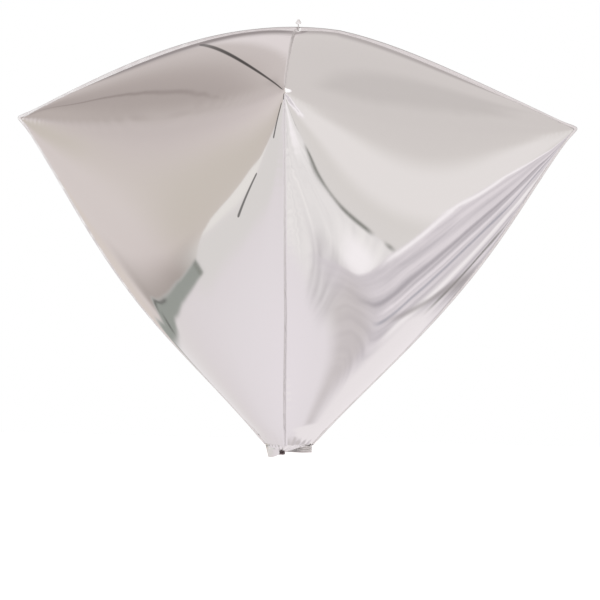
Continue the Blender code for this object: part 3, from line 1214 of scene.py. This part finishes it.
# Edges in the room. Each is rows of (direction, height) in degrees as seen from the balloon:
# direction 0 is towards the camera and grows to its right, height is above the horizon.
FLOOR_TOP = (
    (-180, -3), (-165, -10.5), (-157, -15.5), (-150, -20.5), (-145, -22.3), (-140, -23.3), (-133, -27),
    (-125, -30.3), (-117, -32.7), (-109, -34.3), (-101, -35.8), (-92, -36), (-88, -33), (-83, -28),
    (-76, -24), (-60, -26), (-30, -40), (20, -42), (50, -33), (62, -30.5), (75, -30), (90, -31),
    (140, -31), (180, -31))
STRIP_FOOT = (
    (-180, -3.5), (-165, -12), (-157, -18.3), (-149, -24), (-141, -28.5), (-133, -31.5), (-125, -34.8),
    (-117, -37), (-109, -39), (-101, -40.3), (-91, -41))
STRIP_END = -91.0
CEILING_RIGHT = ((40, 42), (90, 44), (120, 43), (135, 42), (150, 36), (165, 24), (180, 10))
DRAPE_TOP = ((80, -9), (90, -8), (95, -7), (99, -3.5), (105, -1), (115, 1), (130, 3), (180, 3))
ARM_BAND = (
    (100, -53), (105, -50), (118, -40), (130, -30), (140, -22), (150, -16), (165, -7), (180, 0))
# The same on both sides: rows of (direction without its sign, height)
HORIZON_SHADE = ((150, 30), (160, 28), (170, 26.5), (175, 24.5), (180, 22))
# The other way round: rows of (height, direction)
CEILING_LEFT_END = ((28, -128), (34, -122.5), (40, -121.5), (44, -117.5), (50, -112))
DRAPE_SIDE = (
    (-75, 40), (-60, 50), (-55, 60), (-50, 72), (-46, 80), (-40, 84), (-34, 86), (-30, 88), (-20, 92),
    (-12, 94.5), (-7, 96), (4, 97))

# Rows of (height, tone)
LEFT_WALL = (
    (-34, (198, 187, 184)), (-20, (210, 201, 199)), (0, (211, 202, 199)), (16, (201, 191, 190)),
    (30, (188, 179, 176)), (38, (182, 172, 168)))
RIGHT_WALL = (
    (-40, (217, 213, 212)), (-20, (214, 209, 206)), (5, (214, 209, 206)), (20, (208, 202, 200)),
    (40, (204, 198, 196)), (60, (214, 209, 206)))
FLOOR = (
    (-90, (229, 222, 227)), (-60, (223, 217, 220)), (-45, (219, 212, 215)), (-30, (217, 211, 211)),
    (-10, (226, 222, 223)))
# Rows of (direction, tone)
LEFT_CEILING = (
    (-180, (198, 190, 188)), (-160, (199, 190, 188)), (-146, (188, 179, 176)), (-136, (178, 168, 165)),
    (-126, (172, 162, 159)), (-115, (172, 162, 159)), (-90, (176, 166, 162)))
STRIP = (150, 153, 148)
STRIP_RIM = (110, 110, 102)
DARK = (62, 57, 56)
EDGE_DARK = (104, 106, 99)

BEYOND = 400                 # an angle past every other

# Patches of the walls: from, to and softness of the direction, the same of the height, strength, tone
WALL_PATCHES = (
    ((-100, -60, 12), (-32, 14, 14), 0.8, (196, 188, 179)),
    ((70, 112, 12), (-14, 12, 6), 0.9, (228, 223, 222)),
    ((165, BEYOND, 8), (-BEYOND, BEYOND, 1), 1.0, (206, 199, 198)),
    ((-BEYOND, -165, 8), (-BEYOND, BEYOND, 1), 1.0, (206, 199, 198)),
    ((-172, -146, 5), (-16, 0, 5), 0.9, (208, 198, 192)),
    ((173, BEYOND, 3), (0, 20, 5), 1.0, (224, 217, 217)),
    ((-BEYOND, -173, 3), (0, 20, 5), 1.0, (224, 217, 217)),
    ((-70, 52, 14), (-38, BEYOND, 8), 1.0, (226, 219, 219)),
)
# Dark lines in the strip: from and to direction, height from the floor's edge, half width
STRIP_LINES = ((-143.0, -126.0, -0.6, 0.7), (-149.0, -142.0, -2.2, 0.9))
# Dark stretches of the floor's edge on the right: from and to direction, half width, strength
FLOOR_EDGES = ((67.0, 76.0, 2.2, 0.85), (82.5, 86.5, 1.6, 0.75))
# Folds of the drape: degrees behind its edge, half width, lowest and highest height, strength, tone
DRAPE_FOLDS = (
    (7.0, 1.6, -50.0, -12.0, 0.4, (180, 174, 179)),
    (12.0, 2.0, -48.0, -10.0, 0.5, (222, 215, 219)),
    (20.0, 3.0, -54.0, -6.0, 0.75, (158, 152, 158)),
    (26.0, 2.5, -45.0, -8.0, 0.8, (234, 227, 231)),
    (31.5, 1.8, -47.0, -8.0, 0.75, (150, 150, 160)),
    (42.0, 6.0, -40.0, -10.0, 0.9, (242, 237, 238)),
    (52.0, 2.5, -28.0, -12.0, 0.85, (108, 108, 102)),
)


class Room(Nodes):
    """Paints the room by direction, one surface over the other."""

    def __init__(self, tree, turn):
        super().__init__(tree)
        outward = self.add("ShaderNodeTexCoord").outputs["Generated"]
        turned = self.add("ShaderNodeVectorRotate", rotation_type="Z_AXIS")
        self.fill(turned, {"Vector": outward, "Angle": -turn})
        x, y, z = self.parts(turned.outputs[0])
        self.direction = self.math("ARCTAN2", x, y * -1.0) * math.degrees(1)
        self.height = self.math("ARCSINE", z) * math.degrees(1)
        self.colour = None

    def curve(self, value, points):
        """A smooth curve through given points, as a function of an angle in degrees."""
        low, high = points[0][0], points[-1][0]
        least, most = min(p[1] for p in points), max(p[1] for p in points)
        node = self.add("ShaderNodeFloatCurve")
        self.put(node.inputs["Value"], (value - low) / (high - low))
        line = node.mapping.curves[0]
        places = [((a - low) / (high - low), (b - least) / (most - least)) for a, b in points]
        line.points[0].location, line.points[1].location = places[0], places[-1]
        for place in places[1:-1]:
            line.points.new(*place)
        node.mapping.update()
        return Value(self, node.outputs[0]) * (most - least) + least

    def over(self, value, edge, soft):
        """1 where the value is over the edge, 0 under it, over so many degrees either way."""
        return self.fade(value - edge, -soft, soft)

    def between(self, value, low, high, soft):
        return self.over(value, low, soft) * (1.0 - self.over(value, high, soft))

    def line(self, value, edge, half_width):
        """A soft line along an edge."""
        return 1.0 - self.fade(abs(value - edge), 0.0, half_width)

    def ramp(self, value, stops):
        """Tones that change with an angle, from rows of (degrees, tone)."""
        low, high = stops[0][0], stops[-1][0]
        node = self.add("ShaderNodeValToRGB")
        node.color_ramp.interpolation = "B_SPLINE"
        self.put(node.inputs["Fac"], (value - low) / (high - low))
        elements = node.color_ramp.elements
        for element, (angle, colour) in zip(elements, (stops[0], stops[-1])):
            element.position, element.color = (angle - low) / (high - low), tone(*colour)
        for angle, colour in stops[1:-1]:
            elements.new((angle - low) / (high - low)).color = tone(*colour)
        return node.outputs["Color"]

    def streaks(self, across, along):
        """Uneven streaks, 0 to 1, that change fast across and slowly along."""
        place = self.add("ShaderNodeCombineXYZ")
        self.fill(place, {"X": across, "Y": along})
        return self.fade(self.noise(place.outputs[0], 1.0, 4.0, 0.65), 0.34, 0.66)

    def paint(self, mask, colour):
        """Paints with a tone, or with a colour that another node gives."""
        colour = tone(*colour) if isinstance(colour, tuple) else colour
        self.colour = self.mix(mask, self.colour, colour)

    def patch(self, directions, heights, strength, colour):
        """Paints where both angles are between two others, each given with its softness."""
        mask = self.between(self.direction, *directions) * self.between(self.height, *heights)
        self.paint(mask * strength, colour)

    def background(self, colour):
        node = self.add("ShaderNodeBackground")
        self.put(node.inputs["Color"], colour)
        return node.outputs[0]


def paint_walls(room):
    turn, height = room.direction, room.height
    on_right = room.over(turn, 0.0, 50.0)
    room.colour = room.mix(on_right, room.ramp(height, LEFT_WALL), room.ramp(height, RIGHT_WALL))
    for row in WALL_PATCHES:
        room.patch(*row)
    facing = room.mix(room.over(turn, -4.0, 5.0), tone(196, 188, 188), tone(218, 212, 212))
    room.patch((-14, 14, 6), (-3, 22, 5), 1.0, facing)
    room.patch((-62, -20, 6), (-14, 48, 6), 1.0, (255, 255, 255))


def paint_ceiling(room):
    turn, height = room.direction, room.height
    on_left = room.between(turn, -200.0, -105.0, 12.0) * room.over(height, 31.0, 4.0)
    room.paint(on_left, room.ramp(turn, LEFT_CEILING))
    room.patch((-BEYOND, -167, 5), (24, BEYOND, 4), 1.0, (218, 210, 210))
    end = room.line(turn, room.curve(height, CEILING_LEFT_END), 2.6) * room.over(height, 34.0, 5.0)
    room.paint(end * 0.5, (128, 117, 114))
    on_right = room.over(turn, 20.0, 40.0) * room.over(height, room.curve(turn, CEILING_RIGHT), 3.0)
    room.paint(on_right, (206, 200, 198))
    room.patch((110, 138, 8), (37, 48, 3), 0.7, (192, 186, 184))
    around = abs(turn)
    shade = room.between(height, 12.0, room.curve(around, HORIZON_SHADE), 4.0)
    paler_on_right = room.over(turn, 0.0, 5.0) * -0.4 + 1.0
    room.paint(shade * room.over(around, 152.0, 8.0) * paler_on_right, (148, 140, 140))


def paint_floor(room):
    turn, height = room.direction, room.height
    top, foot = room.curve(turn, FLOOR_TOP), room.curve(turn, STRIP_FOOT)
    dusk = room.between(turn, -146.0, -90.0, 4.0) * room.fade(top - height, -11.0, 1.0)
    room.paint(dusk * 0.8, (157, 148, 143))
    below = 1.0 - room.over(height, top, 0.8)
    room.paint(below, room.ramp(height, FLOOR))
    streaks = room.streaks(turn * 0.35, height * 0.03)
    pale = room.mix(streaks, tone(220, 216, 216), tone(236, 232, 231))
    room.patch((28, 88, 8), (-66, -28, 5), below, pale)
    room.patch((STRIP_END, -64, 2), (-30.5, BEYOND, 1.5), below, (227, 223, 220))
    room.patch((-96, -48, 10), (-47, -31, 4), 0.7, (213, 210, 207))
    left = 1.0 - room.over(turn, STRIP_END, 0.5)
    strip = left * room.over(height, foot, 0.7) * below
    room.paint(strip, STRIP)
    for first, last, offset, width in STRIP_LINES:
        line = left * room.between(turn, first, last, 3.0) * room.line(height, top + offset, width)
        room.paint(line * 0.6, DARK)
    room.paint(strip * room.line(turn, STRIP_END - 1.5, 2.0) * 0.5, STRIP_RIM)
    for first, last, width, strength in FLOOR_EDGES:
        edge = room.between(turn, first, last, 2.2) * room.line(height, top, width)
        room.paint(edge * strength, EDGE_DARK)
    room.patch((68, 82, 4), (-52, -38, 4), 1.0, (243, 238, 240))
    smudges = room.mix(streaks, tone(184, 178, 181), tone(216, 211, 213))
    room.patch((52, 76, 5), (-70, -51, 5), 0.8, smudges)


def paint_drape(room):
    turn, height = room.direction, room.height
    top = room.curve(turn, DRAPE_TOP)
    behind_edge = turn - room.curve(height, DRAPE_SIDE)
    inside = room.over(behind_edge, 0.0, 0.8) * (1.0 - room.over(height, top, 0.8))
    inside = inside * room.over(height, -58.0, 8.0)
    sharper = room.over(turn, 84.0, 10.0) * room.over(height, -46.0, 10.0) * 0.6 + 0.4
    folds = (room.streaks(behind_edge * 0.20, height * 0.02) - 0.5) * sharper + 0.5
    room.paint(inside, room.mix(folds, tone(188, 182, 187), tone(222, 215, 219)))
    for place, width, lowest, highest, strength, colour in DRAPE_FOLDS:
        fold = room.line(behind_edge, place, width) * room.between(height, lowest, highest, 3.0)
        room.paint(inside * fold * strength, colour)
    side_rim = room.line(behind_edge, 1.4, 2.0) * room.over(height, -36.0, 6.0)
    rim = room.math("MAXIMUM", side_rim, room.line(height, top - 1.6, 2.4))
    room.paint(rim * inside, (246, 241, 243))
    foot = room.mix(folds, tone(184, 177, 178), tone(204, 197, 197))
    room.patch((72, 124, 9), (-66, -50, 5), 0.8, foot)
    arm = room.curve(turn, ARM_BAND)
    room.paint(room.over(turn, 118.0, 8.0) * room.line(height, arm, 2.5) * 0.7, (152, 146, 146))
    under = 1.0 - room.over(height, arm - 3.0, 2.0)
    room.paint(room.over(turn, 128.0, 8.0) * under, (232, 226, 228))


def make_world(studio):
    """The room round the balloon. The camera itself sees only white behind the balloon."""
    world = bpy.data.worlds.new("studio")
    bpy.context.scene.world = world
    world.use_nodes = True
    room = Room(world.node_tree, studio.balloon_turn)
    for paint in (paint_walls, paint_ceiling, paint_floor, paint_drape):
        paint(room)
    mirrored, seen = room.background(room.colour), room.background(rgba((1.0, 1.0, 1.0)))
    to_camera = room.add("ShaderNodeLightPath").outputs["Is Camera Ray"]
    output = room.add("ShaderNodeOutputWorld")
    room.put(output.inputs["Surface"], room.choose(to_camera, mirrored, seen))


def make_floor(studio):
    bm = bmesh.new()
    bmesh.ops.create_grid(bm, x_segments=8, y_segments=8, size=15.0)
    bmesh.ops.translate(bm, verts=bm.verts, vec=(0.0, 0.0, studio.floor_height))
    floor = bpy.data.objects.new("paper_floor", finished_mesh("paper_floor", bm))
    floor.data.materials.append(studio_paper())
    bpy.context.scene.collection.objects.link(floor)
    floor.visible_glossy = False


SOFT_BOXES = (("left box", (-2.2, -2.0, 2.4), 60.0), ("right box", (2.4, -1.6, 2.2), 50.0))


def make_lights():
    """Two large soft boxes, above on either side of the camera."""
    for name, place, power in SOFT_BOXES:
        light = bpy.data.lights.new(name, "AREA")
        light.shape = "SQUARE"
        light.size = 1.6
        light.energy = power
        lamp = bpy.data.objects.new(name, light)
        lamp.location = place
        lamp.rotation_euler = (-Vector(place)).to_track_quat("-Z", "Y").to_euler()
        lamp.visible_glossy = False
        bpy.context.scene.collection.objects.link(lamp)


def make_camera(studio):
    data = bpy.data.cameras.new("camera")
    camera = bpy.data.objects.new("camera", data)
    bpy.context.scene.collection.objects.link(camera)
    data.sensor_width = 36.0
    data.lens = data.sensor_width * studio.focal_pixels / PHOTO_SIDE
    aim = Matrix.Rotation(studio.balloon_turn, 4, "Z")
    place = aim @ Vector((studio.camera_shift, -studio.distance, studio.camera_height))
    tilt = Matrix.Rotation(studio.tilt, 4, "Z")
    camera.matrix_world = Matrix.Translation(place) @ aim @ Matrix.Rotation(math.pi / 2, 4, "X") @ tilt
    bpy.context.scene.camera = camera


class BALLOON_OT_panels(bpy.types.Operator):
    """Fill the four foil panels with gas and dress their film"""

    bl_idname = "foil_balloon.panels"
    bl_label = "Foil panels"

    def execute(self, context):
        make_panels(context)
        return {"FINISHED"}


class BALLOON_OT_seams(bpy.types.Operator):
    """Weld the four standing seams"""

    bl_idname = "foil_balloon.seams"
    bl_label = "Welded seams"

    def execute(self, context):
        make_seams(context)
        return {"FINISHED"}


class BALLOON_OT_crown_tab(bpy.types.Operator):
    """Add the tuft of film where the seams meet at the crown"""

    bl_idname = "foil_balloon.crown_tab"
    bl_label = "Crown tab"

    def execute(self, context):
        make_crown_tab(context)
        return {"FINISHED"}


class BALLOON_OT_neck(bpy.types.Operator):
    """Gather the film below the panels into the neck"""

    bl_idname = "foil_balloon.neck"
    bl_label = "Gathered neck"

    def execute(self, context):
        make_neck(context)
        return {"FINISHED"}


class BALLOON_OT_tie(bpy.types.Operator):
    """Wind and knot the tie round the neck"""

    bl_idname = "foil_balloon.tie"
    bl_label = "Neck tie"

    def execute(self, context):
        make_tie(context)
        return {"FINISHED"}


class BALLOON_OT_tail(bpy.types.Operator):
    """Pleat the tail that points to the right of the tie"""

    bl_idname = "foil_balloon.tail"
    bl_label = "Pleated tail"

    def execute(self, context):
        make_tail(context)
        return {"FINISHED"}


class BALLOON_OT_flap(bpy.types.Operator):
    """Add the loose corner of film at the left of the neck"""

    bl_idname = "foil_balloon.flap"
    bl_label = "Loose flap"

    def execute(self, context):
        make_flap(context)
        return {"FINISHED"}


def show_plain_colours():
    """Shows radiance as it is, so that white paper comes out white."""
    view = bpy.context.scene.view_settings
    view.view_transform = "Standard"
    view.look = "None"


class BALLOON_OT_studio(bpy.types.Operator):
    """Set up the room, the floor, the lights and the camera"""

    bl_idname = "foil_balloon.studio"
    bl_label = "Studio"

    def execute(self, context):
        studio = settings(context).studio
        show_plain_colours()
        make_world(studio)
        make_floor(studio)
        make_lights()
        make_camera(studio)
        return {"FINISHED"}


STEPS = (
    BALLOON_OT_seams, BALLOON_OT_panels, BALLOON_OT_crown_tab, BALLOON_OT_neck,
    BALLOON_OT_tie, BALLOON_OT_tail, BALLOON_OT_flap, BALLOON_OT_studio)


class BALLOON_PT_sidebar(bpy.types.Panel):
    """Lists the steps that make the balloon and the values behind them"""

    bl_idname = "BALLOON_PT_sidebar"
    bl_label = "Foil Balloon"
    bl_space_type = "VIEW_3D"
    bl_region_type = "UI"
    bl_category = "Foil Balloon"

    def draw(self, context):
        own = settings(context)
        for step in STEPS:
            self.layout.operator(step.bl_idname)
        for group in (own.envelope, own.weld, own.neck, own.finish, own.studio):
            box = self.layout.box()
            box.label(text=group.bl_rna.description)
            for name in group.__annotations__:
                box.prop(group, name)


CLASSES = (
    EnvelopeSettings, WeldSettings, NeckSettings, FinishSettings, StudioSettings, BalloonSettings,
    *STEPS, BALLOON_PT_sidebar)


def register():
    for each in CLASSES:
        bpy.utils.register_class(each)
    bpy.types.Scene.foil_balloon = PointerProperty(type=BalloonSettings)


def unregister():
    del bpy.types.Scene.foil_balloon
    for each in reversed(CLASSES):
        bpy.utils.unregister_class(each)


def main():
    register()
    for step in STEPS:
        group, name = step.bl_idname.split(".")
        getattr(getattr(bpy.ops, group), name)()


if __name__ == "__main__":
    main()
